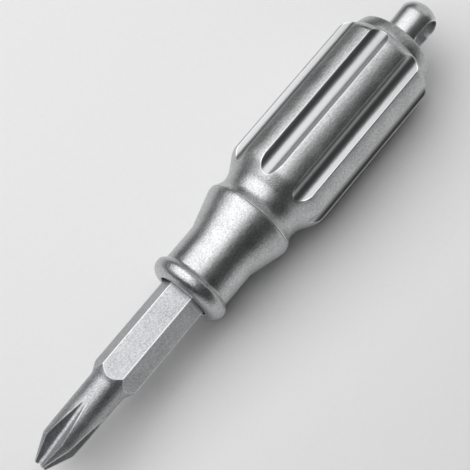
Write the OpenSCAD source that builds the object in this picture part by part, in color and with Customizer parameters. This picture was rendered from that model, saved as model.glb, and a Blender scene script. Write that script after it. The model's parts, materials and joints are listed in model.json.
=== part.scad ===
// Keychain screwdriver: hexagon bit, quick-release collar, fluted grip and swivelling key-ring eye.
// The tool lies on its grip along X, with the cross point at -X, the eye at +X and +Z up.
// Every piece is turned about the tool's axis, so a name ending in _x is a distance from the point.
// All sizes are in millimetres.

/* [Bit] */
// Length of the bit
bit_len = 50; // [46:0.5:60]
// How far the bit stands out of the collar
bit_reach = 30.5; // [28:0.05:32]
// Width of the hexagon across its flats
hex_af = 6.35; // [5.5:0.05:7]
// Turn of the hexagon against the cross point, in degrees
hex_turn = 6.8; // [0:0.1:30]
// Diameter of the blunt end of the point
point_flat_d = 2.0; // [1.4:0.1:2.6]
// Length of the conical point
point_len = 3.8; // [3:0.1:5]
// Diameter of the round shank behind the point
shank_front_d = 5.47; // [4.6:0.01:5.6]
// Diameter of the round shank before the hexagon
shank_rear_d = 5.66; // [5:0.01:6]
// Length from the point to the end of the round shank
shank_len = 14.2; // [11:0.1:17]
// Length of the cone between the shank and the hexagon's corners
lead_len = 1.7; // [1:0.1:3]
// Length of the gullets of the cross point
gullet_len = 10; // [7:0.1:12]
// Width of a gullet's floor
gullet_floor_w = 0.6; // [0.3:0.05:0.8]
// Distance of a gullet's floor from the axis at the point
gullet_core_r = 0.54; // [0.4:0.02:0.8]
// Angle between a gullet's walls, in degrees
gullet_angle = 96; // [80:1:110]
// Length of full hexagon behind the ball groove
groove_from_end = 9.5; // [8:0.1:11]
// Length of the ball groove
groove_len = 6.0; // [4.5:0.1:7]
// Diameter of the neck in the ball groove
groove_neck_d = 4.7; // [4:0.05:5.2]
// Bevel on the hidden end of the bit
bit_end_bevel = 0.7; // [0.3:0.05:1]

/* [Socket core] */
// Gap on each flat between bit and socket
socket_clear = 0.05; // [0.03:0.01:0.1]
// Wall of the core outside the socket's corners
core_wall = 0.58; // [0.5:0.02:1]
// Diameter of the magnet
magnet_d = 6.0; // [4:0.1:6.2]
// Thickness of the magnet
magnet_t = 3.0; // [2:0.1:4]
// Solid length of the core behind the magnet
core_floor_t = 5.5; // [4.5:0.1:8]
// Least length of the block at the back of the core
block_min_len = 2.5; // [2:0.1:4]

/* [Retaining ring] */
// Wire diameter of the retaining ring
ring_wire_d = 0.8; // [0.6:0.05:1]
// How far the ring stands into the socket's corners
ring_bite = 0.3; // [0.2:0.02:0.4]
// Distance from the rear edge of the ball groove to the ring
ring_back = 1.5; // [1:0.1:2]
// Length of the opening in the ring, in degrees
ring_gap_angle = 40; // [20:5:80]
// Spare length beside the ring in its groove
ring_play = 0.1; // [0.05:0.01:0.2]
// Length by which the released collar clears the ring
ring_margin = 0.5; // [0.3:0.05:0.8]

/* [Collar] */
// Length of the collar outside the grip
collar_len = 15.4; // [14:0.05:18]
// Travel of the collar
collar_travel = 3.0; // [2.5:0.1:3.5]
// Radial gap of every sliding fit
slide_clear = 0.04; // [0.02:0.01:0.08]
// Wall of the collar's waist
waist_wall = 1.03; // [0.8:0.01:1.5]
// Height of the finger bead above the waist
bead_rise = 0.74; // [0.4:0.02:1]
// Radius of the front of the finger bead
bead_front_round = 1.7; // [1.4:0.05:2]
// Radius of the back of the finger bead
bead_rear_round = 1.05; // [0.9:0.05:1.3]
// Radius of the hollow behind the finger bead
bead_fillet = 0.2; // [0.15:0.05:0.5]
// Distance from the collar's front to the start of its flare
flare_from_front = 8.6; // [7:0.05:9.5]
// Height of the flare's crest above the waist
crest_rise = 1.66; // [1:0.02:2]
// Distance from the flare's crest to the collar's rear face
crest_from_rear = 0.9; // [0.6:0.05:1.5]
// Radius over the flare's crest
crest_round = 1.8; // [1.6:0.05:2.2]
// Thickness of the lip around the bit
lip_t = 0.85; // [0.6:0.05:1.2]
// Radial gap between the bit's corners and the lip
lip_gap = 0.33; // [0.2:0.01:0.5]
// Gap between the lip and the front of the core
nose_gap = 0.1; // [0.05:0.05:0.3]
// Wall of the skirt
skirt_wall = 0.5; // [0.4:0.05:0.8]
// Gap between the end of the skirt and the core's block
skirt_gap = 1.0; // [0.5:0.1:2]
// Length of the bush in the end of the skirt
collar_bush_len = 3.5; // [2.5:0.1:4.5]

/* [Collar spring] */
// Wire diameter of the collar spring
spring_wire_d = 0.5; // [0.4:0.02:0.6]
// Radial gap inside and outside the spring
spring_gap = 0.125; // [0.1:0.005:0.2]
// Turns of the spring
spring_turns = 6.5; // [5:0.5:7]
// Length that the spring could still close by when the collar is right forward
spring_spare = 0.25; // [0.1:0.05:0.5]
// Gap between the collar's land and the stop ring at rest
stop_gap = 0.9; // [0.5:0.1:1.2]
// Thickness of the stop ring
stop_ring_t = 0.6; // [0.4:0.05:0.8]
// Depth of the stop ring's groove in the core
stop_groove_depth = 0.2; // [0.1:0.02:0.3]
// Length of the opening in the stop ring, in degrees
stop_gap_angle = 50; // [30:5:90]
// Thickness of the spring's seat washer
seat_t = 0.4; // [0.3:0.05:0.6]

/* [Grip] */
// Wall of the grip's neck
neck_wall = 0.66; // [0.5:0.02:1.2]
// Length of the straight neck
neck_len = 1.5; // [0.8:0.05:2]
// Height of the grip above its neck
grip_rise = 1.95; // [1.7:0.05:2.5]
// Radius of the hollow where the neck starts to flare
neck_fillet = 3.6; // [2.5:0.1:4]
// Radius of the shoulder where the flare meets the grip
shoulder_round = 3.3; // [2.5:0.1:4]
// Slope of the flare, in degrees
flare_angle = 31; // [27:1:36]
// Radius between the grip and the chamfer on its rear edge
rear_round = 1.4; // [1:0.1:1.8]
// Slope of the chamfer on the grip's rear edge, in degrees
rear_angle = 45; // [40:1:55]
// Height by which the chamfer falls to the grip's rear face
rear_drop = 1.27; // [1:0.01:1.5]
// Number of flutes
flute_count = 8; // [6:1:8]
// Width of a flute at its mouth
flute_w = 3.05; // [2.4:0.05:3.4]
// Depth of a flute
flute_depth = 0.97; // [0.6:0.01:1.1]
// Thickness of the web inside the grip
web_t = 3.0; // [2.5:0.1:4]

/* [Core fixing] */
// Diameter of the core screw
screw_d = 4.0; // [3:0.1:4]
// Radial gap around the screw in the web
screw_clear = 0.2; // [0.1:0.05:0.3]
// Solid length between the magnet and the end of the screw
screw_tip_gap = 1.4; // [1.2:0.1:2]
// Spare depth of the tapped hole past the end of the screw
tap_spare = 0.4; // [0.2:0.1:0.6]
// Diameter of the screw's head
head_d = 7.0; // [5.5:0.1:7.4]
// Height of the screw's head
head_h = 2.8; // [2:0.1:4]
// Hexagon in the screw's head, across its flats
head_key_af = 3.0; // [2:0.1:3.5]
// Depth of the hexagon in the screw's head
head_key_depth = 1.6; // [1:0.1:1.8]
// Thickness of the lock washer
lock_washer_t = 0.9; // [0.6:0.05:1.2]
// Width of the lock washer's ring
lock_washer_w = 1.1; // [0.8:0.05:1.4]
// Width of the cut in the lock washer
lock_washer_cut = 0.6; // [0.3:0.05:0.8]
// Diameter of the drive dowels
dowel_d = 1.5; // [1:0.05:1.6]
// Metal left at each end of a dowel's hole
dowel_skin = 0.8; // [0.5:0.05:1]

/* [End cap] */
// Radial room around the screw's head in the rear bore
head_room = 1.5; // [1.1:0.05:1.7]
// Free length between the core screw and the eye's stem
tail_room = 2.2; // [1:0.1:4]
// Length of the cap's threaded spigot
spigot_len = 8.05; // [6:0.05:10]
// Thickness of the cap's flange
cap_t = 2.15; // [1.8:0.05:3]
// Step from the grip's rear face in to the cap
cap_step = 0.05; // [0:0.01:0.3]
// Slope of the cap's side, in degrees
cap_taper = 18; // [10:1:25]
// Radius of the cap's rear edge
cap_round = 0.5; // [0.3:0.05:0.8]
// Cord diameter of the ring under the flange
o_ring_d = 0.88; // [0.6:0.02:1]
// Gap around the ring in its groove
o_ring_gap = 0.01; // [0.01:0.005:0.04]
// Distance from the flange to the ring's groove
o_ring_from_flange = 0.8; // [0.5:0.05:1.2]

/* [Eye] */
// Diameter of the eye's post
eye_d = 6.3; // [5.6:0.05:7]
// Distance from the cap to the centre of the post's dome
eye_rise = 4.4; // [4:0.05:6]
// Width of the key-ring hole
eye_hole_w = 4.3; // [3.2:0.05:4.5]
// Length of the key-ring hole along the post
eye_hole_len = 6.1; // [5:0.05:6.4]
// Distance from the cap to the key-ring hole
eye_hole_rise = 0.35; // [0.2:0.05:0.8]
// Diameter of the eye's stem
stem_d = 4.0; // [3:0.05:4.2]
// Radial gap of the stem in its bush
swivel_clear = 0.03; // [0.02:0.005:0.06]
// Axial gap at each end of the swivel
swivel_gap = 0.05; // [0.02:0.01:0.1]
// Wall of the eye's bush
eye_bush_wall = 0.72; // [0.5:0.02:0.9]
// Thickness of the bush's flange
bush_flange_t = 0.5; // [0.3:0.05:0.7]
// Depth of the recess that the post stands in
recess_depth = 1.3; // [0.8:0.05:1.5]
// Radial gap around the post in the recess
recess_clear = 0.15; // [0.1:0.01:0.3]
// Thickness of the thrust washer
thrust_t = 0.5; // [0.3:0.05:0.8]
// Width of the thrust washer's ring
thrust_w = 1.9; // [1.2:0.1:2.4]
// Gap between the washers and the stem
washer_clear = 0.1; // [0.05:0.01:0.2]
// Thickness of the disc spring
disc_t = 0.25; // [0.2:0.01:0.3]
// Height of the disc spring
disc_h = 0.55; // [0.45:0.01:0.7]
// Width of the disc spring's ring
disc_w = 1.5; // [1:0.1:1.8]
// Thickness of the clip
clip_t = 0.6; // [0.4:0.05:0.8]
// Depth of the clip's groove in the stem
clip_groove_depth = 0.5; // [0.3:0.05:0.7]
// Width of the clip's ring outside the stem
clip_w = 1.4; // [0.8:0.1:1.8]
// Width of the clip's opening
clip_opening = 2.6; // [1.6:0.1:2.8]
// Length of stem in front of the clip
stem_tip_len = 0.9; // [0.6:0.1:1.5]

/* [Hidden] */
$fn = 96;

// Length by which a cutting shape passes the face it leaves
cut = 1;
bright_steel = "#c4c6c8";
satin_steel = "#a9acaf";
dark_steel = "#7d8084";
spring_steel = "#8f9499";
bronze = "#b08d57";
rubber = "#2b2b2d";

// Radii of the bit and of what lies round it, from the inside out
hex_corner_r = hex_af / 2 / cos(30);
socket_af = hex_af + 2 * socket_clear;
socket_corner_r = socket_af / 2 / cos(30);
ring_in_r = socket_corner_r - ring_bite;
ring_out_r = ring_in_r + ring_wire_d;
core_r = max(socket_corner_r + core_wall, ring_out_r + slide_clear);
collar_bore_r = core_r + slide_clear;
waist_r = collar_bore_r + waist_wall;
bead_r = waist_r + bead_rise;
crest_r = waist_r + crest_rise;
lip_r = hex_corner_r + lip_gap;
spring_mid_r = core_r + spring_gap + spring_wire_d / 2;
skirt_in_r = core_r + 2 * spring_gap + spring_wire_d;
skirt_out_r = skirt_in_r + skirt_wall;
grip_bore_r = skirt_out_r + slide_clear;
neck_r = grip_bore_r + neck_wall;
grip_r = neck_r + grip_rise;
rear_bore_r = head_d / 2 + head_room;
rear_face_r = grip_r - rear_drop;
cap_r = rear_face_r - cap_step;
dowel_circle_r = (screw_d / 2 + grip_bore_r) / 2;

// Radii of the swivel
stem_r = stem_d / 2;
bush_in_r = stem_r + swivel_clear;
bush_out_r = bush_in_r + eye_bush_wall;
recess_r = eye_d / 2 + recess_clear;

// Stations along the tool, from the point to the eye
core_x = bit_reach + lip_t + nose_gap;
groove_x = bit_len - groove_from_end - groove_len / 2;
ring_x = bit_len - groove_from_end - ring_back;
land_end_x = ring_x + collar_travel - ring_wire_d / 2 - ring_margin;
stop_x = land_end_x + stop_gap;
seat_x = stop_x + stop_ring_t;
spring_x = seat_x + seat_t;
neck_x = bit_reach + collar_len;
spring_closed_len = (spring_turns + 1) * spring_wire_d;
collar_bush_x = spring_x + spring_closed_len + spring_spare + collar_travel;
skirt_end_x = collar_bush_x + collar_bush_len;
block_x = skirt_end_x + skirt_gap;
pocket_end_x = bit_len + magnet_t;
web_x = max(pocket_end_x + core_floor_t, block_x + block_min_len);
cavity_x = web_x + web_t;
screw_tip_x = pocket_end_x + screw_tip_gap;
head_x = cavity_x + lock_washer_t;
stem_end_x = head_x + head_h + tail_room;
clip_x = stem_end_x + stem_tip_len;
disc_x = clip_x + clip_t + swivel_gap;
thrust_x = disc_x + disc_h;
spigot_x = thrust_x + thrust_t;
cap_x = spigot_x + spigot_len;
cap_end_x = cap_x + cap_t;
recess_x = cap_end_x - recess_depth;
shoulder_x = recess_x + bush_flange_t + swivel_gap;
eye_x = cap_end_x + eye_rise;
overall_len = eye_x + eye_d / 2;

// The tool rests on the two edges of its lowest flute, this far from the axis
axis_z = sqrt(grip_r * grip_r - flute_w * flute_w / 4);

// Places a piece that was turned about Z, with its point end at the origin
module on_tool_axis() {
    translate([-overall_len / 2, 0, axis_z]) rotate([0, 90, 0]) children();
}

// Round bar from one station to another
module bar(r, from_x, to_x) {
    translate([0, 0, from_x]) cylinder(r = r, h = to_x - from_x);
}

// Round tube from one station to another
module tube(in_r, out_r, from_x, to_x) {
    difference() {
        bar(out_r, from_x, to_x);
        bar(in_r, from_x - cut, to_x + cut);
    }
}

// Hexagon bar from one station to another, turned to match the bit
module hex_bar(af, from_x, to_x) {
    rotate([0, 0, hex_turn - 30])
        translate([0, 0, from_x])
            cylinder(r = af / 2 / cos(30), h = to_x - from_x, $fn = 6);
}

// Ring of round wire with an opening, in the plane of a station
module open_wire_ring(in_r, wire_d, at_x, gap_angle) {
    translate([0, 0, at_x])
        rotate([0, 0, gap_angle / 2])
            rotate_extrude(angle = 360 - gap_angle)
                translate([in_r + wire_d / 2, 0])
                    circle(d = wire_d);
}

// Bit

// Cutter for one gullet, rising from its floor at the point to the face of the shank
module gullet() {
    wall_h = shank_rear_d;
    mouth_w = gullet_floor_w + 2 * wall_h * tan(gullet_angle / 2);
    slope = atan((shank_front_d / 2 - gullet_core_r) / gullet_len);
    translate([gullet_core_r, 0, 0])
        rotate([0, slope, 0])
            translate([0, 0, -cut])
                linear_extrude(height = gullet_len + 2 * cut)
                    polygon([
                        [0, -gullet_floor_w / 2],
                        [0, gullet_floor_w / 2],
                        [wall_h, mouth_w / 2],
                        [wall_h, -mouth_w / 2]
                    ]);
}

// Round outline of the bit: point, shank, cone up to the hexagon's corners and bevelled end
module bit_outline() {
    lead_slope = (hex_corner_r - shank_rear_d / 2) / lead_len;
    over_r = hex_corner_r + bit_end_bevel;
    over_x = shank_len + (over_r - shank_rear_d / 2) / lead_slope;
    polygon([
        [0, 0],
        [point_flat_d / 2, 0],
        [shank_front_d / 2, point_len],
        [shank_rear_d / 2, shank_len],
        [over_r, over_x],
        [over_r, bit_len - 2 * bit_end_bevel],
        [hex_corner_r - bit_end_bevel, bit_len],
        [0, bit_len]
    ]);
}

// Ball groove, a round hollow that runs right round the hexagon
module ball_groove() {
    depth = hex_corner_r - groove_neck_d / 2;
    hollow_r = (groove_len * groove_len / 4 + depth * depth) / (2 * depth);
    translate([0, 0, groove_x])
        rotate_extrude()
            translate([groove_neck_d / 2 + hollow_r, 0])
                circle(r = hollow_r);
}

module driver_bit() {
    color(bright_steel)
        on_tool_axis()
            difference() {
                intersection() {
                    hex_bar(hex_af, -cut, bit_len + cut);
                    rotate_extrude() bit_outline();
                }
                ball_groove();
                for (turn = [0:90:270]) rotate([0, 0, turn]) gullet();
            }
}

// Collar

// Outside of the collar: bead, waist, and a flare that runs tangent into its rounded crest
module collar_outline() {
    bead_x = bit_reach + bead_front_round;
    front_mid_r = bead_r - bead_front_round;
    rear_mid_r = bead_r - bead_rear_round;
    flare_x = bit_reach + flare_from_front;
    crest_x = neck_x - crest_from_rear;
    crest_mid_r = crest_r - crest_round;
    run = crest_x - flare_x;
    drop = crest_mid_r - waist_r;
    slope = atan2(drop, run) + asin(crest_round / sqrt(run * run + drop * drop));
    touch = [crest_mid_r + crest_round * cos(slope), crest_x - crest_round * sin(slope)];
    fillet_mid_r = waist_r + bead_fillet;
    fillet_reach = sqrt(pow(bead_rear_round + bead_fillet, 2) - pow(fillet_mid_r - rear_mid_r, 2));
    fillet_x = bead_x + fillet_reach;
    fillet_share = bead_rear_round / (bead_rear_round + bead_fillet);
    bead_end = [
        rear_mid_r + (fillet_mid_r - rear_mid_r) * fillet_share,
        bead_x + fillet_reach * fillet_share
    ];
    intersection() {
        union() {
            translate([0, bit_reach]) square([front_mid_r, bead_front_round]);
            intersection() {
                translate([front_mid_r, bead_x]) circle(r = bead_front_round);
                translate([0, bit_reach]) square([bead_r, bead_front_round]);
            }
            intersection() {
                translate([rear_mid_r, bead_x]) circle(r = bead_rear_round);
                translate([0, bead_x]) square([bead_r, bead_rear_round]);
            }
            difference() {
                polygon([
                    [0, bead_x],
                    [rear_mid_r, bead_x],
                    bead_end,
                    [waist_r, fillet_x],
                    [0, fillet_x]
                ]);
                translate([fillet_mid_r, fillet_x]) circle(r = bead_fillet);
            }
            polygon([
                [0, fillet_x],
                [waist_r, fillet_x],
                [waist_r, flare_x],
                touch,
                [crest_mid_r, crest_x],
                [crest_mid_r, neck_x],
                [0, neck_x]
            ]);
            translate([crest_mid_r, crest_x]) circle(r = crest_round);
        }
        translate([0, bit_reach]) square([crest_r, collar_len]);
    }
}

module release_collar() {
    color(satin_steel)
        on_tool_axis()
            difference() {
                union() {
                    rotate_extrude() collar_outline();
                    bar(skirt_out_r, neck_x - crest_from_rear, skirt_end_x);
                }
                bar(lip_r, bit_reach - cut, bit_reach + lip_t + cut);
                bar(collar_bore_r, bit_reach + lip_t, land_end_x + cut);
                bar(skirt_in_r, land_end_x, skirt_end_x + cut);
            }
}

module collar_bush() {
    color(bronze)
        on_tool_axis()
            tube(collar_bore_r, skirt_in_r, collar_bush_x, skirt_end_x);
}

// Collar spring

// Share of a turn at each end that lies flat on its seat
spring_flat = 0.125;
// Points on one turn, enough to keep the straight stretches clear of the core, and sides of the wire
spring_steps = 24;
spring_sides = 6;
// Gap between the wire and each seat
spring_seat_gap = 0.02;
spring_rise = collar_bush_x - spring_x - spring_wire_d - 2 * spring_seat_gap;
spring_points = round(spring_turns * spring_steps);

function spring_height(turn) =
    spring_rise * min(1, max(0, (turn - spring_flat) / (spring_turns - 2 * spring_flat)));

function spring_centre(i) =
    let (turn = i / spring_steps)
    [
        spring_mid_r * cos(360 * turn),
        spring_mid_r * sin(360 * turn),
        spring_x + spring_seat_gap + spring_wire_d / 2 + spring_height(turn)
    ];

function spring_ring(i) =
    let (
        angle = 360 * i / spring_steps,
        out = [cos(angle), sin(angle), 0],
        run = spring_centre(i + 0.5) - spring_centre(i - 0.5),
        up = cross(out, run / norm(run)) * -1
    )
    [
        for (side = [0:spring_sides - 1])
            let (lean = 360 * side / spring_sides)
            spring_centre(i) + (out * cos(lean) + up * sin(lean)) * spring_wire_d / 2
    ];

function spring_wall(i, side) =
    let (
        next = (side + 1) % spring_sides,
        a = i * spring_sides,
        b = a + spring_sides
    )
    [[a + side, a + next, b + next], [a + side, b + next, b + side]];

// Least distance between wires one turn apart, less the wire itself
spring_self_gap = min([
    for (i = [0:spring_points - spring_steps])
        norm(spring_centre(i + spring_steps) - spring_centre(i)) - spring_wire_d
]);
echo("least gap between the turns of the collar spring, mm", spring_self_gap);

module collar_spring() {
    last = spring_points * spring_sides;
    points = [for (i = [0:spring_points]) each spring_ring(i)];
    walls = [
        for (i = [0:spring_points - 1])
            for (side = [0:spring_sides - 1]) each spring_wall(i, side)
    ];
    front_end = [for (side = [1:spring_sides - 2]) [0, side + 1, side]];
    rear_end = [for (side = [1:spring_sides - 2]) [last, last + side, last + side + 1]];
    color(spring_steel)
        on_tool_axis()
            polyhedron(points = points, faces = concat(walls, front_end, rear_end));
}

module spring_seat_washer() {
    color(satin_steel)
        on_tool_axis()
            tube(core_r, skirt_in_r - spring_gap, seat_x, spring_x);
}

module spring_stop_ring() {
    in_r = core_r - stop_groove_depth;
    out_r = skirt_in_r - spring_gap;
    color(spring_steel)
        on_tool_axis()
            translate([0, 0, stop_x])
                rotate([0, 0, stop_gap_angle / 2])
                    rotate_extrude(angle = 360 - stop_gap_angle)
                        translate([in_r, 0])
                            square([out_r - in_r, stop_ring_t]);
}

// Socket core

// Two dowel places on the circle between the screw and the bore
module at_dowels() {
    for (turn = [90, 270]) rotate([0, 0, turn]) translate([dowel_circle_r, 0, 0]) children();
}

// A dowel goes as deep as the thinner of block and web allows
dowel_depth = min(web_x - block_x, web_t) - dowel_skin;

module dowel_bars() {
    at_dowels() bar(dowel_d / 2, web_x - dowel_depth, web_x + dowel_depth);
}

module socket_core() {
    ring_groove_w = ring_wire_d + ring_play;
    color(dark_steel)
        on_tool_axis()
            difference() {
                union() {
                    bar(core_r, core_x, block_x);
                    bar(grip_bore_r, block_x, web_x);
                }
                hex_bar(socket_af, core_x - cut, bit_len);
                bar(magnet_d / 2, bit_len - cut, pocket_end_x);
                tube(ring_in_r, core_r + cut, ring_x - ring_groove_w / 2, ring_x + ring_groove_w / 2);
                tube(core_r - stop_groove_depth, core_r + cut, stop_x, stop_x + stop_ring_t);
                bar(screw_d / 2, screw_tip_x - tap_spare, web_x + cut);
                dowel_bars();
            }
}

module bit_retaining_ring() {
    color(spring_steel)
        on_tool_axis()
            open_wire_ring(ring_in_r, ring_wire_d, ring_x, ring_gap_angle);
}

module bit_magnet() {
    color(bright_steel)
        on_tool_axis()
            bar(magnet_d / 2, bit_len, pocket_end_x);
}

// Core fixing

module drive_dowels() {
    color(spring_steel) on_tool_axis() dowel_bars();
}

module core_lock_washer() {
    out_r = screw_d / 2 + screw_clear + lock_washer_w;
    color(spring_steel)
        on_tool_axis()
            difference() {
                tube(screw_d / 2 + screw_clear, out_r, cavity_x, head_x);
                translate([0, -lock_washer_cut / 2, cavity_x - cut])
                    cube([out_r + cut, lock_washer_cut, lock_washer_t + 2 * cut]);
            }
}

module core_screw() {
    head_end_x = head_x + head_h;
    color(dark_steel)
        on_tool_axis()
            difference() {
                union() {
                    bar(screw_d / 2, screw_tip_x, head_x);
                    bar(head_d / 2, head_x, head_end_x);
                }
                hex_bar(head_key_af, head_end_x - head_key_depth, head_end_x + cut);
            }
}

// Grip

// Outside of the grip: neck, hollow, flare, shoulder, straight body and chamfered rear edge
module grip_outline() {
    hollow_x = neck_x + neck_len;
    hollow = [
        neck_r + neck_fillet * (1 - cos(flare_angle)),
        hollow_x + neck_fillet * sin(flare_angle)
    ];
    shoulder_start_r = grip_r - shoulder_round * (1 - cos(flare_angle));
    flare_run = (shoulder_start_r - hollow[0]) / tan(flare_angle);
    shoulder_start = [shoulder_start_r, hollow[1] + flare_run];
    shoulder_x = shoulder_start[1] + shoulder_round * sin(flare_angle);
    chamfer_r = grip_r - rear_round * (1 - cos(rear_angle));
    chamfer_x = cap_x - (chamfer_r - rear_face_r) / tan(rear_angle);
    round_x = chamfer_x - rear_round * sin(rear_angle);
    difference() {
        union() {
            polygon([
                [0, neck_x],
                [neck_r, neck_x],
                [neck_r, hollow_x],
                hollow,
                shoulder_start,
                [grip_r, shoulder_x],
                [grip_r, round_x],
                [chamfer_r, chamfer_x],
                [rear_face_r, cap_x],
                [0, cap_x]
            ]);
            translate([grip_r - shoulder_round, shoulder_x]) circle(r = shoulder_round);
            translate([grip_r - rear_round, round_x]) circle(r = rear_round);
        }
        translate([neck_r + neck_fillet, hollow_x]) circle(r = neck_fillet);
    }
}

// Cutter for one flute, a round trough that runs out on the flare and on the chamfer
module flute() {
    floor_r = grip_r - flute_depth;
    rise = axis_z - floor_r;
    hollow_r = (flute_w * flute_w / 4 + rise * rise) / (2 * rise);
    translate([floor_r + hollow_r, 0, 0]) bar(hollow_r, neck_x, cap_x + cut);
}

module grip_barrel() {
    color(satin_steel)
        on_tool_axis()
            difference() {
                rotate_extrude() grip_outline();
                for (i = [0:flute_count - 1]) rotate([0, 0, 360 * i / flute_count]) flute();
                bar(grip_bore_r, neck_x - cut, web_x);
                bar(screw_d / 2 + screw_clear, web_x - cut, cavity_x + cut);
                bar(rear_bore_r, cavity_x, cap_x + cut);
                dowel_bars();
            }
}

// End cap

o_ring_x = cap_x - o_ring_from_flange - o_ring_d / 2 - o_ring_gap;
o_ring_mid_r = rear_bore_r - o_ring_gap - o_ring_d / 2;

module cap_o_ring() {
    color(rubber)
        on_tool_axis()
            translate([0, 0, o_ring_x])
                rotate_extrude()
                    translate([o_ring_mid_r, 0])
                        circle(d = o_ring_d);
}

// Outside of the cap's flange: a tapered side that runs tangent into its rounded rear edge
module cap_outline() {
    round_x = cap_end_x - cap_round;
    side_end_x = round_x + cap_round * sin(cap_taper);
    side_end_r = cap_r - (side_end_x - cap_x) * tan(cap_taper);
    round_r = side_end_r - cap_round * cos(cap_taper);
    polygon([
        [0, cap_x],
        [cap_r, cap_x],
        [side_end_r, side_end_x],
        [round_r, cap_end_x],
        [0, cap_end_x]
    ]);
    translate([round_r, round_x]) circle(r = cap_round);
}

module end_cap() {
    groove_half_w = o_ring_d / 2 + o_ring_gap;
    groove_r = rear_bore_r - o_ring_d - 2 * o_ring_gap;
    color(satin_steel)
        on_tool_axis()
            difference() {
                union() {
                    bar(rear_bore_r, spigot_x, cap_x);
                    rotate_extrude() cap_outline();
                }
                tube(groove_r, rear_bore_r + cut, o_ring_x - groove_half_w, o_ring_x + groove_half_w);
                bar(bush_out_r, spigot_x - cut, recess_x + cut);
                bar(recess_r, recess_x, cap_end_x + cut);
            }
}

// Eye and its swivel

module eye_bush() {
    color(bronze)
        on_tool_axis()
            difference() {
                union() {
                    bar(bush_out_r, spigot_x, recess_x);
                    bar(eye_d / 2, recess_x, recess_x + bush_flange_t);
                }
                bar(bush_in_r, spigot_x - cut, cap_end_x);
            }
}

module eye_thrust_washer() {
    in_r = stem_r + washer_clear;
    color(satin_steel)
        on_tool_axis()
            tube(in_r, in_r + thrust_w, thrust_x, spigot_x);
}

module eye_disc_spring() {
    in_r = stem_r + washer_clear;
    color(spring_steel)
        on_tool_axis()
            rotate_extrude()
                polygon([
                    [in_r, disc_x],
                    [in_r + disc_w, thrust_x - disc_t],
                    [in_r + disc_w, thrust_x],
                    [in_r, disc_x + disc_t]
                ]);
}

module eye_clip() {
    in_r = stem_r - clip_groove_depth;
    out_r = stem_r + clip_w;
    color(spring_steel)
        on_tool_axis()
            difference() {
                tube(in_r, out_r, clip_x, clip_x + clip_t);
                translate([0, -clip_opening / 2, clip_x - cut])
                    cube([out_r + cut, clip_opening, clip_t + 2 * cut]);
            }
}

// Cutter for the key-ring hole, straight along the post and round at both ends
module key_ring_hole() {
    hole_r = eye_hole_w / 2;
    front_x = cap_end_x + eye_hole_rise + hole_r;
    straight_len = eye_hole_len - eye_hole_w;
    depth = eye_d + 2 * cut;
    for (end_x = [front_x, front_x + straight_len])
        translate([0, 0, end_x])
            rotate([90, 0, 0])
                cylinder(r = hole_r, h = depth, center = true);
    translate([0, 0, front_x + straight_len / 2])
        cube([eye_hole_w, depth, straight_len], center = true);
}

module swivel_eye() {
    color(bright_steel)
        on_tool_axis()
            difference() {
                union() {
                    bar(stem_r, stem_end_x, eye_x);
                    bar(eye_d / 2, shoulder_x, eye_x);
                    translate([0, 0, eye_x]) sphere(d = eye_d);
                }
                tube(stem_r - clip_groove_depth, stem_r + cut, clip_x, clip_x + clip_t);
                key_ring_hole();
            }
}

driver_bit();
release_collar();
collar_bush();
collar_spring();
spring_seat_washer();
spring_stop_ring();
socket_core();
bit_retaining_ring();
bit_magnet();
drive_dowels();
core_lock_washer();
core_screw();
grip_barrel();
cap_o_ring();
end_cap();
eye_bush();
eye_thrust_washer();
eye_disc_spring();
eye_clip();
swivel_eye();
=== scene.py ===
"""Keychain screwdriver: the turned, fluted and cut pieces that are seen, with their finishes and studio."""
import json
import math
import bpy
from mathutils import Matrix, Vector


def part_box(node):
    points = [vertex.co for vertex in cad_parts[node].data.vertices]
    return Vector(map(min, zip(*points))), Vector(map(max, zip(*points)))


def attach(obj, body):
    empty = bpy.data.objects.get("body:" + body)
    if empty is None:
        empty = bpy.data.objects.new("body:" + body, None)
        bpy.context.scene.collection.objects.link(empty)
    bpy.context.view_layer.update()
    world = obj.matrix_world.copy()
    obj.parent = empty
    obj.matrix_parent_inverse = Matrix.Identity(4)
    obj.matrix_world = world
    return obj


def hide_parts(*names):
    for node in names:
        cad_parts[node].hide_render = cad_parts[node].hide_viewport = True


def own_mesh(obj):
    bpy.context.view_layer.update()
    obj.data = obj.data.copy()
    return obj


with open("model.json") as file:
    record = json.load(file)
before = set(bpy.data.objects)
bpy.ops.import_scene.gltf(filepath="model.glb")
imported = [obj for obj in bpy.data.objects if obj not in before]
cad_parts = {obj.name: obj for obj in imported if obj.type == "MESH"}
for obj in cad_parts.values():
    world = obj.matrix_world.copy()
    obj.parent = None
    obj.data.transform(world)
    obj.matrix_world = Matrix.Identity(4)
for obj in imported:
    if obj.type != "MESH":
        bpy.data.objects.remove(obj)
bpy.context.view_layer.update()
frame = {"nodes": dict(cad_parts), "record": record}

MM = 0.001
tip_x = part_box("driver_bit")[0].x
eye_low, eye_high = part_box("swivel_eye")
axis_z = (eye_low.z + eye_high.z) / 2


# Hand tools


def place(x, r=0.0):
    """The point x millimetres behind the tip of the bit and r millimetres above the tool's axis."""
    return Vector((tip_x + x * MM, 0.0, axis_z + r * MM))


def pick_up(piece):
    """Makes one piece the only selected and active object."""
    bpy.ops.object.select_all(action="DESELECT")
    piece.select_set(True)
    bpy.context.view_layer.objects.active = piece


def name_piece(name):
    """Names the object that was just added, with its place kept in its mesh."""
    piece = bpy.context.object
    piece.name = name
    piece.data.name = name
    bpy.ops.object.transform_apply(location=True, rotation=True, scale=True)
    return piece


def arc(x, r, radius, start, end, count):
    """Points on a round of an outline. Angles are in degrees, 0 towards the eye and 90 outwards."""
    points = []
    for i in range(count + 1):
        angle = math.radians(start + (end - start) * i / count)
        points.append((x + radius * math.cos(angle), r + radius * math.sin(angle)))
    return points


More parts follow.
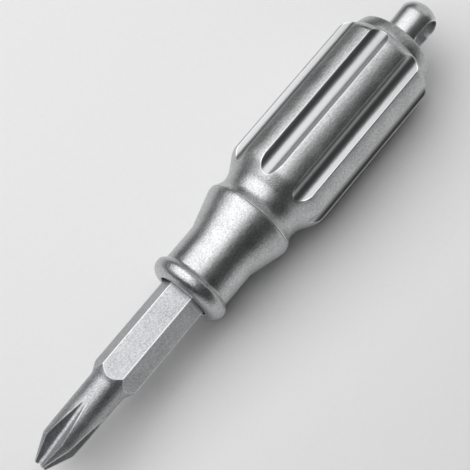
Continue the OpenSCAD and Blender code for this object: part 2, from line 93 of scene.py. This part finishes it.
def pull_line(name, points):
    """Pulls one point along a line of places, and leaves the new piece open for editing."""
    bpy.ops.object.select_all(action="DESELECT")
    bpy.ops.mesh.primitive_plane_add(size=MM, location=points[0])
    piece = name_piece(name)
    bpy.ops.object.mode_set(mode="EDIT")
    bpy.ops.mesh.merge(type="CENTER")
    for here, there in zip(points, points[1:]):
        bpy.ops.mesh.extrude_vertices_move(TRANSFORM_OT_translate={"value": there - here})
    bpy.ops.mesh.select_all(action="SELECT")
    return piece


def turn_on_lathe(name, outline, steps):
    """Draws half of an outline, then spins it about the tool's axis."""
    piece = pull_line(name, [place(*point) for point in outline])
    bpy.ops.mesh.spin(steps=steps, angle=math.tau, center=place(0), axis=(1, 0, 0))
    bpy.ops.mesh.select_all(action="SELECT")
    bpy.ops.mesh.remove_doubles(threshold=0.002 * MM)
    bpy.ops.mesh.normals_make_consistent(inside=False)
    bpy.ops.object.mode_set(mode="OBJECT")
    return piece


def draw_bar(name, outline, from_x, to_x):
    """Draws an outline across the tool, fills it and pulls it along the tool."""
    piece = pull_line(name, [place(from_x, r) + Vector((0, y * MM, 0)) for y, r in outline])
    bpy.ops.mesh.edge_face_add()
    bpy.ops.mesh.extrude_region_move(TRANSFORM_OT_translate={"value": place(to_x) - place(from_x)})
    bpy.ops.mesh.select_all(action="SELECT")
    bpy.ops.mesh.normals_make_consistent(inside=False)
    bpy.ops.object.mode_set(mode="OBJECT")
    return piece


def select_points(piece, wanted):
    """Opens a piece for editing with the points selected that pass a test."""
    pick_up(piece)
    bpy.ops.object.mode_set(mode="EDIT")
    bpy.ops.mesh.select_all(action="DESELECT")
    bpy.ops.object.mode_set(mode="OBJECT")
    for vertex in piece.data.vertices:
        vertex.select = wanted(vertex.co)
    bpy.ops.object.mode_set(mode="EDIT")


def copy_round(piece, degrees):
    """A copy of a piece with its own mesh, turned about the tool's axis."""
    twin = piece.copy()
    twin.data = piece.data.copy()
    bpy.context.collection.objects.link(twin)
    to_axis = Matrix.Translation(place(0))
    spin = Matrix.Rotation(math.radians(degrees), 4, "X")
    twin.data.transform(to_axis @ spin @ to_axis.inverted())
    return twin


def cut_with(piece, tool, operation="DIFFERENCE"):
    """Cuts a piece with another solid, which is used up."""
    cut = piece.modifiers.new("cut", "BOOLEAN")
    cut.operation = operation
    cut.solver = "EXACT"
    cut.object = tool
    pick_up(piece)
    bpy.ops.object.modifier_apply(modifier=cut.name)
    bpy.data.objects.remove(tool)


def ease_edges(piece, width, angle, segments=2):
    """Breaks every edge sharper than the angle, as tumbling and blasting do, and keeps flat faces flat."""
    pick_up(piece)
    bpy.ops.object.mode_set(mode="EDIT")
    bpy.ops.mesh.select_all(action="SELECT")
    bpy.ops.mesh.remove_doubles(threshold=0.01 * MM)
    bpy.ops.mesh.dissolve_degenerate(threshold=0.005 * MM)
    bpy.ops.object.mode_set(mode="OBJECT")
    bevel = piece.modifiers.new("eased edges", "BEVEL")
    bevel.width = width * MM
    bevel.segments = segments
    bevel.limit_method = "ANGLE"
    bevel.angle_limit = math.radians(angle)
    bpy.ops.object.modifier_apply(modifier=bevel.name)
    bpy.ops.object.shade_smooth_by_angle(angle=math.radians(angle + 15))
    weighted = piece.modifiers.new("true flats", "WEIGHTED_NORMAL")
    weighted.keep_sharp = True
    bpy.ops.object.modifier_apply(modifier=weighted.name)


# Sizes that shape and finish share

rib_r = 8.204
flute_count = 8
flute_mouth_w = 3.05
flute_mouth_r = math.sqrt(rib_r ** 2 - flute_mouth_w ** 2 / 4)
flute_floor_r = 7.234
flute_rise = flute_mouth_r - flute_floor_r
flute_round = (flute_mouth_w ** 2 / 4 + flute_rise ** 2) / (2 * flute_rise)
flute_r = flute_floor_r + flute_round

# Sizes of the finishes, in millimetres

flute_blur_start = 0.03
flute_blur_end = 0.12
cloud_size = 4.0
recess_shade_reach = 3.0
glint_and_worn_edge_reach = 0.3
bloom_size = 0.6
bloom_relief = 0.004


# Finishes


def linear(hex_colour):
    """Linear colour of an sRGB hex value."""
    shares = [int(hex_colour[i:i + 2], 16) / 255 for i in (1, 3, 5)]
    return [s / 12.92 if s <= 0.04045 else ((s + 0.055) / 1.055) ** 2.4 for s in shares] + [1.0]


def add(tree, kind, links=None, **settings):
    """Adds a node, with its settings by name and its inputs as values or as other nodes' outputs."""
    node = tree.nodes.new(kind)
    for name, value in settings.items():
        setattr(node, name, value)
    for name, value in (links or {}).items():
        if isinstance(value, bpy.types.NodeSocket):
            tree.links.new(value, node.inputs[name])
        else:
            node.inputs[name].default_value = value
    return node


def start_finish(name):
    """A new material with its node tree, its shader and the piece's own coordinates."""
    finish = bpy.data.materials.new(name)
    finish.use_nodes = True
    tree = finish.node_tree
    shader = tree.nodes["Principled BSDF"]
    spot = add(tree, "ShaderNodeTexCoord").outputs["Object"]
    return finish, tree, shader, spot


def per_mm(size):
    """Texture scale at which one feature of a pattern is this many millimetres wide."""
    return 1 / (size * MM)


def blend(tree, share, first, second):
    """The first colour where the share is nothing, and the second where it is one."""
    return add(tree, "ShaderNodeMix", {0: share, 6: first, 7: second}, data_type="RGBA").outputs[2]


def sums(tree, operation, first, second=0.0):
    """One sum on two numbers or outputs of other nodes."""
    return add(tree, "ShaderNodeMath", {0: first, 1: second}, operation=operation).outputs[0]


def arrow_length(tree, aside, outward):
    """Length of an arrow across the tool."""
    arrow = add(tree, "ShaderNodeCombineXYZ", {"X": aside, "Y": outward}).outputs["Vector"]
    return add(tree, "ShaderNodeVectorMath", {0: arrow}, operation="LENGTH").outputs["Value"]


def lay_finish(tree, shader, colour, gloss, bump):
    """Joins colour, roughness and relief to the shader."""
    tree.links.new(colour, shader.inputs["Base Color"])
    tree.links.new(gloss, shader.inputs["Roughness"])
    tree.links.new(bump.outputs["Normal"], shader.inputs["Normal"])


def set_tones(tone, dark, light):
    """Sets the two ends of a colour ramp."""
    tone.color_ramp.elements[0].color = linear(dark)
    tone.color_ramp.elements[1].color = linear(light)


def paint_glint_and_worn_edges(tree, colour, glint_and_worn_edge, reach):
    """Painted highlights along edges, partly also edges worn bright in use: lighter where a rounding of this
    reach would turn the surface.
    """
    rounded = add(tree, "ShaderNodeBevel", {"Radius": reach * MM}, samples=8)
    faces = add(tree, "ShaderNodeNewGeometry")
    likeness = add(tree, "ShaderNodeVectorMath",
                   {0: rounded.outputs["Normal"], 1: faces.outputs["Normal"]}, operation="DOT_PRODUCT")
    glint_and_worn_share = add(tree, "ShaderNodeMapRange",
               {"Value": likeness.outputs["Value"], "From Min": 0.997, "From Max": 0.97})
    return blend(tree, glint_and_worn_share.outputs["Result"], colour, linear(glint_and_worn_edge))


def paint_recess_shade(tree, colour, recess_shade, depth):
    """Painted shade in recesses: darker where the piece closes in on itself."""
    hollow = add(tree, "ShaderNodeAmbientOcclusion", {"Distance": depth * MM}, samples=8, only_local=True)
    open_share = add(tree, "ShaderNodeMapRange",
                     {"Value": hollow.outputs["AO"], "From Min": 0.45, "From Max": 0.9})
    return blend(tree, open_share.outputs["Result"], linear(recess_shade), colour)


def share_in_flutes(tree, spot):
    """One inside the flutes that are milled along the grip, and nothing on the ribs between them."""
    parts = add(tree, "ShaderNodeSeparateXYZ", {"Vector": spot})
    height = sums(tree, "SUBTRACT", parts.outputs["Z"], axis_z)
    turn = sums(tree, "ARCTAN2", parts.outputs["Y"], height)
    step = math.tau / flute_count
    flutes_passed = sums(tree, "ADD", sums(tree, "DIVIDE", turn, step), flute_count + 0.5)
    from_rib = sums(tree, "MULTIPLY", sums(tree, "FRACT", flutes_passed), step)
    from_flute = sums(tree, "SUBTRACT", from_rib, step / 2)
    reach = arrow_length(tree, parts.outputs["Y"], height)
    aside = sums(tree, "MULTIPLY", reach, sums(tree, "SINE", from_flute))
    outward = sums(tree, "MULTIPLY", reach, sums(tree, "COSINE", from_flute))
    away = arrow_length(tree, aside, sums(tree, "SUBTRACT", outward, flute_r * MM))
    share = add(tree, "ShaderNodeMapRange",
                {"Value": away,
                 "From Min": (flute_round + flute_blur_end) * MM,
                 "From Max": (flute_round + flute_blur_start) * MM})
    return share.outputs["Result"]


def blasted_steel(name, dark, light, rough, grit, relief, glint_and_worn_edge=None, recess_shade=None, milled=None):
    """Metal blasted with fine beads: an even, soft sheen with a sparkle of tiny dimples in it.

    The dimples are really about 0.05 mm wide, and are drawn as coarse as the picture can show.
    """
    finish, tree, shader, spot = start_finish(name)
    shader.inputs["Metallic"].default_value = 1.0
    dimples = add(tree, "ShaderNodeTexNoise",
                  {"Vector": spot, "Scale": per_mm(grit), "Detail": 2.0, "Roughness": 0.6})
    clouds = add(tree, "ShaderNodeTexNoise",
                 {"Vector": spot, "Scale": per_mm(cloud_size), "Detail": 3.0, "Roughness": 0.55})
    grain = add(tree, "ShaderNodeMix",
                {"Factor": 0.7, "A": clouds.outputs["Fac"], "B": dimples.outputs["Fac"]},
                data_type="FLOAT")
    tone = add(tree, "ShaderNodeValToRGB", {"Fac": grain.outputs["Result"]})
    tone.color_ramp.elements[0].position = 0.35
    tone.color_ramp.elements[1].position = 0.65
    set_tones(tone, dark, light)
    sheen = add(tree, "ShaderNodeMapRange",
                {"Value": clouds.outputs["Fac"], "From Min": 0.3, "From Max": 0.7,
                 "To Min": rough - 0.03, "To Max": rough + 0.03})
    bump = add(tree, "ShaderNodeBump",
               {"Height": dimples.outputs["Fac"], "Strength": 1.0, "Distance": relief * MM})
    colour = tone.outputs["Color"]
    gloss = sheen.outputs["Result"]
    if milled:
        share = share_in_flutes(tree, spot)
        colour = blend(tree, share, colour, linear(milled))
        gloss = add(tree, "ShaderNodeMix",
                    {"Factor": share, "A": gloss, "B": rough + 0.02}, data_type="FLOAT").outputs["Result"]
        smoothed = sums(tree, "MULTIPLY", share, 0.7)
        tree.links.new(sums(tree, "SUBTRACT", 1.0, smoothed), bump.inputs["Strength"])
    # Painted shade: the colour darkens in recesses, where shade falls.
    if recess_shade:
        colour = paint_recess_shade(tree, colour, recess_shade, recess_shade_reach)
    # Painted highlight on edges, partly also edges worn bright: the colour lightens where the surface turns.
    if glint_and_worn_edge:
        colour = paint_glint_and_worn_edges(tree, colour, glint_and_worn_edge, glint_and_worn_edge_reach)
    lay_finish(tree, shader, colour, gloss, bump)
    return finish


def turned_metal(name, dark, light, rough, pitch, relief):
    """Metal straight from the lathe: fine rings round the tool's axis from the cutting tip."""
    finish, tree, shader, spot = start_finish(name)
    shader.inputs["Metallic"].default_value = 1.0
    rings = add(tree, "ShaderNodeTexWave",
                {"Vector": spot, "Scale": per_mm(pitch) * math.pi / 10, "Distortion": 1.5, "Detail": 2.0},
                wave_type="BANDS", bands_direction="X")
    tone = add(tree, "ShaderNodeValToRGB", {"Fac": rings.outputs["Fac"]})
    set_tones(tone, dark, light)
    sheen = add(tree, "ShaderNodeMapRange",
                {"Value": rings.outputs["Fac"], "To Min": rough - 0.04, "To Max": rough + 0.04})
    bump = add(tree, "ShaderNodeBump",
               {"Height": rings.outputs["Fac"], "Strength": 1.0, "Distance": relief * MM})
    lay_finish(tree, shader, tone.outputs["Color"], sheen.outputs["Result"], bump)
    return finish


def moulded_rubber(name, dark, light):
    """Nitrile rubber from a mould: matt black with a faint bloom."""
    finish, tree, shader, spot = start_finish(name)
    bloom = add(tree, "ShaderNodeTexNoise",
                {"Vector": spot, "Scale": per_mm(bloom_size), "Detail": 3.0, "Roughness": 0.6})
    tone = add(tree, "ShaderNodeValToRGB", {"Fac": bloom.outputs["Fac"]})
    set_tones(tone, dark, light)
    sheen = add(tree, "ShaderNodeMapRange",
                {"Value": bloom.outputs["Fac"], "To Min": 0.55, "To Max": 0.75})
    bump = add(tree, "ShaderNodeBump",
               {"Height": bloom.outputs["Fac"], "Strength": 0.6, "Distance": bloom_relief * MM})
    lay_finish(tree, shader, tone.outputs["Color"], sheen.outputs["Result"], bump)
    return finish


finishes = {
    # The fluted grip, the bit and the eye have painted highlights along their edges, partly also worn edges.
    "fluted_steel": blasted_steel(
        "blasted and milled stainless steel", "#a3a4a5", "#dadbdc", 0.32, 0.22, 0.045,
        glint_and_worn_edge="#f2f3f4", milled="#b3b4b5"),
    "bit_steel": blasted_steel(
        "blasted tool steel", "#96979a", "#c8c9cb", 0.44, 0.22, 0.045, glint_and_worn_edge="#f6f7f8"),
    "satin_steel": blasted_steel("blasted stainless steel", "#a3a4a5", "#dadbdc", 0.32, 0.22, 0.045),
    # The eye's finish has painted shade in its key-ring hole and other recesses.
    "polished_steel": blasted_steel(
        "tumbled stainless steel", "#bcbdbe", "#e0e1e2", 0.32, 0.22, 0.025,
        glint_and_worn_edge="#f2f3f4", recess_shade="#4a4b4c"),
    "plain_steel": turned_metal("turned steel", "#a2a4a8", "#b8babd", 0.34, 0.12, 0.004),
    "spring_steel": turned_metal("drawn spring wire", "#8e9196", "#a3a6ab", 0.36, 0.2, 0.003),
    "dark_steel": turned_metal("blackened alloy steel", "#28292b", "#343538", 0.48, 0.2, 0.003),
    "plated_magnet": blasted_steel("nickel-plated magnet", "#c9c6bf", "#d6d3cc", 0.18, 0.4, 0.002),
    "bronze": blasted_steel("sintered bronze", "#a8865a", "#bf9a69", 0.42, 0.15, 0.010),
    "rubber": moulded_rubber("nitrile rubber", "#171717", "#242424"),
}


def dress(piece, slot_name, body, node, finish_name=None):
    """Gives a modelled piece its finish and its place among the bodies, and stands it for its solid."""
    piece.data.materials.clear()
    piece.data.materials.append(finishes[finish_name or slot_name])
    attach(piece, body)
    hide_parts(node)


for subpart in frame["record"]["subparts"]:
    solid = frame["nodes"][subpart["node"]]
    solid.data.materials.clear()
    solid.data.materials.append(finishes[subpart["material_slot"]])


# Bit

bit_len = 50
stock_r = 4.3
stock_spare = 10
hex_flat_r = 3.175
hex_corner_r = hex_flat_r / math.cos(math.radians(30))
hex_turn = 6.8
point_r = 1.0
cone_x = 3.8
cone_r = 2.735
root_x = 13.726
root_r = 4.826
root_round = 2.0
root_start = 270.5
root_end = 296.2
ramp_end_x = 17.188
groove_x = 37.5
groove_r = 6.426
groove_round = 4.076
groove_edge = math.degrees(math.asin((groove_r - stock_r) / groove_round))
rear_bevel_x = 48.6
rear_r = 2.966

bit_outline = [(0, 0), (0, point_r), (cone_x, cone_r)]
bit_outline += arc(root_x, root_r, root_round, root_start, root_end, 8)
bit_outline += [(ramp_end_x, stock_r)]
bit_outline += arc(groove_x, groove_r, groove_round, 180 + groove_edge, 360 - groove_edge, 24)
bit_outline += [(rear_bevel_x, stock_r), (bit_len, rear_r), (bit_len, 0)]
bit = turn_on_lathe("bit", bit_outline, 144)

bpy.ops.object.select_all(action="DESELECT")
bpy.ops.mesh.primitive_cylinder_add(
    vertices=6, radius=hex_corner_r * MM, depth=(bit_len + stock_spare) * MM, location=place(bit_len / 2),
    rotation=(0, math.pi / 2, 0))
hexagon = name_piece("hexagon stock")
cut_with(bit, copy_round(hexagon, hex_turn), "INTERSECT")
bpy.data.objects.remove(hexagon)

# A gullet's cutter is a bar with a round floor and leaning walls, whose rear end is lifted
gullet_lean = 48
gullet_floor_r = 0.477
gullet_floor_round = 0.6
gullet_rise = 0.2195
gullet_front_x = -1.0
gullet_rear_x = 11.0
gullet_mouth_y = 4.3
gullet_arc_r = gullet_floor_r + gullet_floor_round + gullet_front_x * gullet_rise
gullet_foot_y = gullet_floor_round * math.cos(math.radians(gullet_lean))
gullet_foot_r = gullet_arc_r - gullet_floor_round * math.sin(math.radians(gullet_lean))
gullet_mouth_r = gullet_foot_r + (gullet_mouth_y - gullet_foot_y) / math.tan(math.radians(gullet_lean))
gullet_outline = [(-gullet_mouth_y, gullet_mouth_r)]
gullet_outline += arc(0, gullet_arc_r, gullet_floor_round, 180 + gullet_lean, 360 - gullet_lean, 16)
gullet_outline += [(gullet_mouth_y, gullet_mouth_r)]
gullet = draw_bar("gullet cutter", gullet_outline, gullet_front_x, gullet_rear_x)
select_points(gullet, lambda point: point.x > place(gullet_rear_x - 1).x)
bpy.ops.transform.translate(value=(0, 0, (gullet_rear_x - gullet_front_x) * gullet_rise * MM))
bpy.ops.object.mode_set(mode="OBJECT")
for quarter in range(4):
    cut_with(bit, copy_round(gullet, 90 * quarter))
bpy.data.objects.remove(gullet)
ease_edges(bit, width=0.13, angle=18, segments=3)
dress(bit, "bit_steel", "bit", "driver_bit")

# Collar

bead_x = 32.2
bead_front_r = 4.414
bead_front_round = 1.7
bead_rear_r = 5.064
bead_rear_round = 1.05
bead_fillet = 0.6
waist_r = 5.374
waist_end_x = 39.1
crest_x = 45.0
crest_r = 5.234
crest_round = 1.8
crest_end = 73
flare_slope = 16.4
mouth_x = 31.35
mouth_r = 3.996
mouth_edge_x = 30.68
mouth_edge_r = 4.176
mouth_edge_round = 0.18
guide_r = 4.344
guide_end_x = 41.1
skirt_front_x = 45.526
skirt_rear_x = 53.5
skirt_r = 5.554
skirt_bore_r = 5.054
fillet_r = waist_r + bead_fillet
fillet_reach = bead_rear_round + bead_fillet
bead_join = math.degrees(math.asin((fillet_r - bead_rear_r) / fillet_reach))
fillet_x = bead_x + fillet_reach * math.cos(math.radians(bead_join))

collar_outline = [(mouth_x, mouth_r)]
collar_outline += arc(mouth_edge_x, mouth_edge_r, mouth_edge_round, 270, 180, 5)
collar_outline += arc(bead_x, bead_front_r, bead_front_round, 180, 90, 20)
collar_outline += arc(bead_x, bead_rear_r, bead_rear_round, 90, bead_join, 14)[1:]
collar_outline += arc(fillet_x, fillet_r, bead_fillet, 180 + bead_join, 270, 8)[1:]
collar_outline += [(waist_end_x, waist_r)]
collar_outline += arc(crest_x, crest_r, crest_round, 90 + flare_slope, crest_end, 12)
collar_outline += [(skirt_front_x, skirt_r), (skirt_rear_x, skirt_r), (skirt_rear_x, skirt_bore_r)]
collar_outline += [(guide_end_x, skirt_bore_r), (guide_end_x, guide_r)]
collar_outline += [(mouth_x, guide_r), (mouth_x, mouth_r)]
collar = turn_on_lathe("collar", collar_outline, 192)
ease_edges(collar, width=0.1, angle=30)
dress(collar, "satin_steel", "collar", "release_collar")

# Collar spring, one round of wire swept along its coil

spring_turns = 6.5
spring_steps = 48
wire_round = 0.25
coil_x = 43.27
coil_r = 4.679
coil_len = 6.46
bpy.ops.object.select_all(action="DESELECT")
bpy.ops.mesh.primitive_circle_add(
    vertices=16, radius=wire_round * MM, location=place(coil_x, -coil_r), rotation=(math.pi / 2, 0, 0))
spring = name_piece("collar_coil")
bpy.context.scene.cursor.location = place(0)
bpy.ops.object.origin_set(type="ORIGIN_CURSOR")
coil = spring.modifiers.new("coil", "SCREW")
coil.axis = "X"
coil.angle = spring_turns * math.tau
coil.screw_offset = coil_len * MM
coil.steps = int(spring_turns * spring_steps)
coil.render_steps = coil.steps
bpy.ops.object.modifier_apply(modifier=coil.name)
bpy.ops.object.transform_apply(location=True, rotation=True, scale=True)
bpy.ops.object.mode_set(mode="EDIT")
bpy.ops.mesh.select_all(action="SELECT")
bpy.ops.mesh.fill_holes(sides=0)
bpy.ops.mesh.select_all(action="SELECT")
bpy.ops.mesh.normals_make_consistent(inside=False)
bpy.ops.object.mode_set(mode="OBJECT")
bpy.ops.object.shade_smooth_by_angle(angle=math.radians(50))
dress(spring, "spring_steel", "grip", "collar_spring")
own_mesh(spring)

# Grip

neck_x = 47.4
neck_r = 6.254
flare_round = 3.6
flare_angle = 31
shoulder_round = 3.3
rear_round_x = 76.2
rear_round = 1.4
grip_front_x = 45.56
grip_front_start = 72
grip_rear_x = 78.05
grip_rear_r = 6.934
core_bore_r = 5.594
cap_bore_r = 5.0
web_front_x = 58.5
web_rear_x = 61.5
screw_hole_r = 2.2
hollow_end = arc(neck_x, neck_r + flare_round, flare_round, 270, 270 + flare_angle, 14)
hollow_end_x, hollow_end_r = hollow_end[-1]
shoulder_rise = shoulder_round * (1 - math.cos(math.radians(flare_angle)))
flare_run = (rib_r - shoulder_rise - hollow_end_r) / math.tan(math.radians(flare_angle))
shoulder_x = hollow_end_x + flare_run + shoulder_round * math.sin(math.radians(flare_angle))
neck_run = neck_x - crest_x
neck_rise = neck_r - crest_r
neck_round = (neck_run ** 2 + neck_rise ** 2 - crest_round ** 2) / (2 * (crest_round - neck_rise))
neck_join = math.degrees(math.acos(neck_run / (crest_round + neck_round)))

grip_outline = [(grip_front_x, core_bore_r)]
grip_outline += arc(crest_x, crest_r, crest_round, grip_front_start, neck_join, 6)
grip_outline += arc(neck_x, neck_r + neck_round, neck_round, 180 + neck_join, 270, 12)[1:]
grip_outline += hollow_end[1:]
grip_outline += arc(shoulder_x, rib_r - shoulder_round, shoulder_round, 90 + flare_angle, 90, 14)
grip_outline += arc(rear_round_x, rib_r - rear_round, rear_round, 90, 45, 10)
grip_outline += [(grip_rear_x, grip_rear_r), (grip_rear_x, cap_bore_r), (web_rear_x, cap_bore_r)]
grip_outline += [(web_rear_x, screw_hole_r), (web_front_x, screw_hole_r), (web_front_x, core_bore_r)]
grip_outline += [(grip_front_x, core_bore_r)]
grip = turn_on_lathe("grip", grip_outline, 152)

# A flute's cutter is a bar along the grip, round below and spread above, so that the lips come out rounded
flute_front_x = 46.1
flute_rear_x = 78.9
flute_top_y = 2.1
flute_top_r = 9.6
lip_round = 0.18
lip_lead = 4
lip_reach = rib_r - lip_round
lip_r = (lip_reach ** 2 - (flute_round + lip_round) ** 2 + flute_r ** 2) / (2 * flute_r)
lip_y = math.sqrt(lip_reach ** 2 - lip_r ** 2)
lip_start = 90 - lip_lead + math.degrees(math.atan2(lip_y, lip_r))
lip_end = math.degrees(math.atan2(flute_r - lip_r, lip_y))
flute_outline = [(-flute_top_y, flute_top_r)]
flute_outline += arc(-lip_y, lip_r, lip_round, lip_start, lip_end, 8)
flute_outline += arc(0, flute_r, flute_round, 180 + lip_end, 360 - lip_end, 28)[1:-1]
flute_outline += arc(lip_y, lip_r, lip_round, 180 - lip_end, 180 - lip_start, 8)
flute_outline += [(flute_top_y, flute_top_r)]
flute = draw_bar("flute cutter", flute_outline, flute_front_x, flute_rear_x)
for turn in range(flute_count):
    cut_with(grip, copy_round(flute, 360 / flute_count * turn))
bpy.data.objects.remove(flute)
ease_edges(grip, width=0.15, angle=20, segments=3)
dress(grip, "satin_steel", "grip", "grip_barrel", "fluted_steel")

# End cap

cap_front_r = 6.884
cap_edge_x = 79.7
cap_edge_r = 5.822
cap_edge_round = 0.5
cap_edge_start = 72
cap_rear_x = 80.2
recess_x = 78.9
recess_r = 3.3
bush_hole_r = 2.75
spigot_x = 70.0
seal_front_x = 76.35
seal_rear_x = 77.25
seal_r = 4.1
cap_outline = [(grip_rear_x, cap_bore_r), (grip_rear_x, cap_front_r)]
cap_outline += arc(cap_edge_x, cap_edge_r, cap_edge_round, cap_edge_start, 0, 10)
cap_outline += [(cap_rear_x, recess_r), (recess_x, recess_r), (recess_x, bush_hole_r)]
cap_outline += [(spigot_x, bush_hole_r), (spigot_x, cap_bore_r), (seal_front_x, cap_bore_r)]
cap_outline += [(seal_front_x, seal_r), (seal_rear_x, seal_r), (seal_rear_x, cap_bore_r)]
cap_outline += [(grip_rear_x, cap_bore_r)]
cap = turn_on_lathe("cap", cap_outline, 160)
ease_edges(cap, width=0.06, angle=30)
dress(cap, "satin_steel", "grip", "end_cap")

# Eye

stem_x = 67.4
stem_r = 2.0
clip_front_x = 68.3
clip_rear_x = 68.9
clip_r = 1.5
post_x = 79.45
post_r = 3.15
swell_x = 81.5
head_x = 84.2
head_r = 3.25
dome_x = 85.0
dome_r = 0.5
dome_round = 2.75
eye_outline = [(stem_x, 0), (stem_x, stem_r), (clip_front_x, stem_r), (clip_front_x, clip_r)]
eye_outline += [(clip_rear_x, clip_r), (clip_rear_x, stem_r), (post_x, stem_r)]
eye_outline += [(post_x, post_r), (swell_x, post_r), (head_x, head_r)]
eye_outline += arc(dome_x, dome_r, dome_round, 90, 0, 32) + [(dome_x + dome_round, 0)]
eye = turn_on_lathe("eye", eye_outline, 144)

# The key-ring hole's cutter is a round bar across the tool, drawn out along the post
hole_x = 82.7
hole_round = 2.15
hole_draw = 1.8
hole_bar_len = 10
past_middle = 0.01
bpy.ops.object.select_all(action="DESELECT")
bpy.ops.mesh.primitive_cylinder_add(
    vertices=96, radius=hole_round * MM, depth=hole_bar_len * MM, location=place(hole_x),
    rotation=(math.pi / 2, 0, 0))
ring_hole = name_piece("key-ring hole")
select_points(ring_hole, lambda point: point.x > place(hole_x + past_middle).x)
bpy.ops.transform.translate(value=(hole_draw * MM, 0, 0))
bpy.ops.object.mode_set(mode="OBJECT")
cut_with(eye, ring_hole)
ease_edges(eye, width=0.05, angle=30)
dress(eye, "polished_steel", "eye", "swivel_eye")


# Studio

floor_width = 6
paper_fibre_size = 0.8
lamp_aim_x = 43.9
bpy.ops.object.select_all(action="DESELECT")
bpy.ops.mesh.primitive_plane_add(size=floor_width, location=(0, 0, 0))
floor = name_piece("floor")
paper, paper_tree, paper_shader, paper_spot = start_finish("white seamless paper")
paper_fibre = add(paper_tree, "ShaderNodeTexNoise",
                  {"Vector": paper_spot, "Scale": per_mm(paper_fibre_size), "Detail": 3.0, "Roughness": 0.6})
paper_tone = add(paper_tree, "ShaderNodeValToRGB", {"Fac": paper_fibre.outputs["Fac"]})
set_tones(paper_tone, "#f6f6f6", "#fbfbfb")
paper_tree.links.new(paper_tone.outputs["Color"], paper_shader.inputs["Base Color"])
paper_shader.inputs["Roughness"].default_value = 0.9
floor.data.materials.append(paper)


def hang_soft_box(name, away, lean, swing, width, length, glow):
    """A lamp that faces the tool from a distance, leant from upright towards +Y and swung towards +X."""
    lean_turn = Matrix.Rotation(math.radians(-lean), 4, "X")
    swing_turn = Matrix.Rotation(math.radians(swing), 4, "Y")
    aim = lean_turn @ swing_turn
    lamp_data = bpy.data.lights.new(name, "AREA")
    lamp_data.shape = "RECTANGLE"
    lamp_data.size = length
    lamp_data.size_y = width
    lamp_data.energy = glow * math.pi * width * length
    lamp = bpy.data.objects.new(name, lamp_data)
    bpy.context.collection.objects.link(lamp)
    lamp.matrix_world = Matrix.Translation(place(lamp_aim_x)) @ aim @ Matrix.Translation((0, 0, away))


hang_soft_box("overhead soft box", away=0.25, lean=19, swing=-3, width=0.357, length=0.405, glow=1.85)
hang_soft_box("end fill", away=0.5, lean=0, swing=68, width=0.5, length=0.4, glow=0.6)

world = bpy.data.worlds.new("dim studio")
bpy.context.scene.world = world
world.use_nodes = True
studio_air = world.node_tree.nodes["Background"]
studio_air.inputs["Color"].default_value = linear("#3a3a3a")
studio_air.inputs["Strength"].default_value = 1.0

# Camera at the photograph's viewing angle, for a square frame
frame_pixels = 470
focus_pixels = 1400
film_width = 36
camera_away = 0.2
camera_aim_x = 42.2
tilt = math.radians(13)
roll = math.radians(70.2)
slant = math.radians(49.775)
back = Vector((-math.sin(tilt), -math.cos(tilt) * math.cos(roll), math.cos(tilt) * math.sin(roll)))
along = Vector((1, 0, 0)) - back.x * back
along.normalize()
across = along.cross(back)
right = math.cos(slant) * along + math.sin(slant) * across
up = math.sin(slant) * along - math.cos(slant) * across
camera_data = bpy.data.cameras.new("camera")
camera_data.sensor_width = film_width
camera_data.lens = focus_pixels / frame_pixels * film_width
camera_data.clip_start = 0.01
camera = bpy.data.objects.new("camera", camera_data)
bpy.context.collection.objects.link(camera)
facing = Matrix((right, up, back)).transposed().to_4x4()
camera.matrix_world = Matrix.Translation(place(camera_aim_x) + camera_away * back) @ facing
bpy.context.scene.camera = camera
bpy.context.scene.view_settings.view_transform = "Standard"
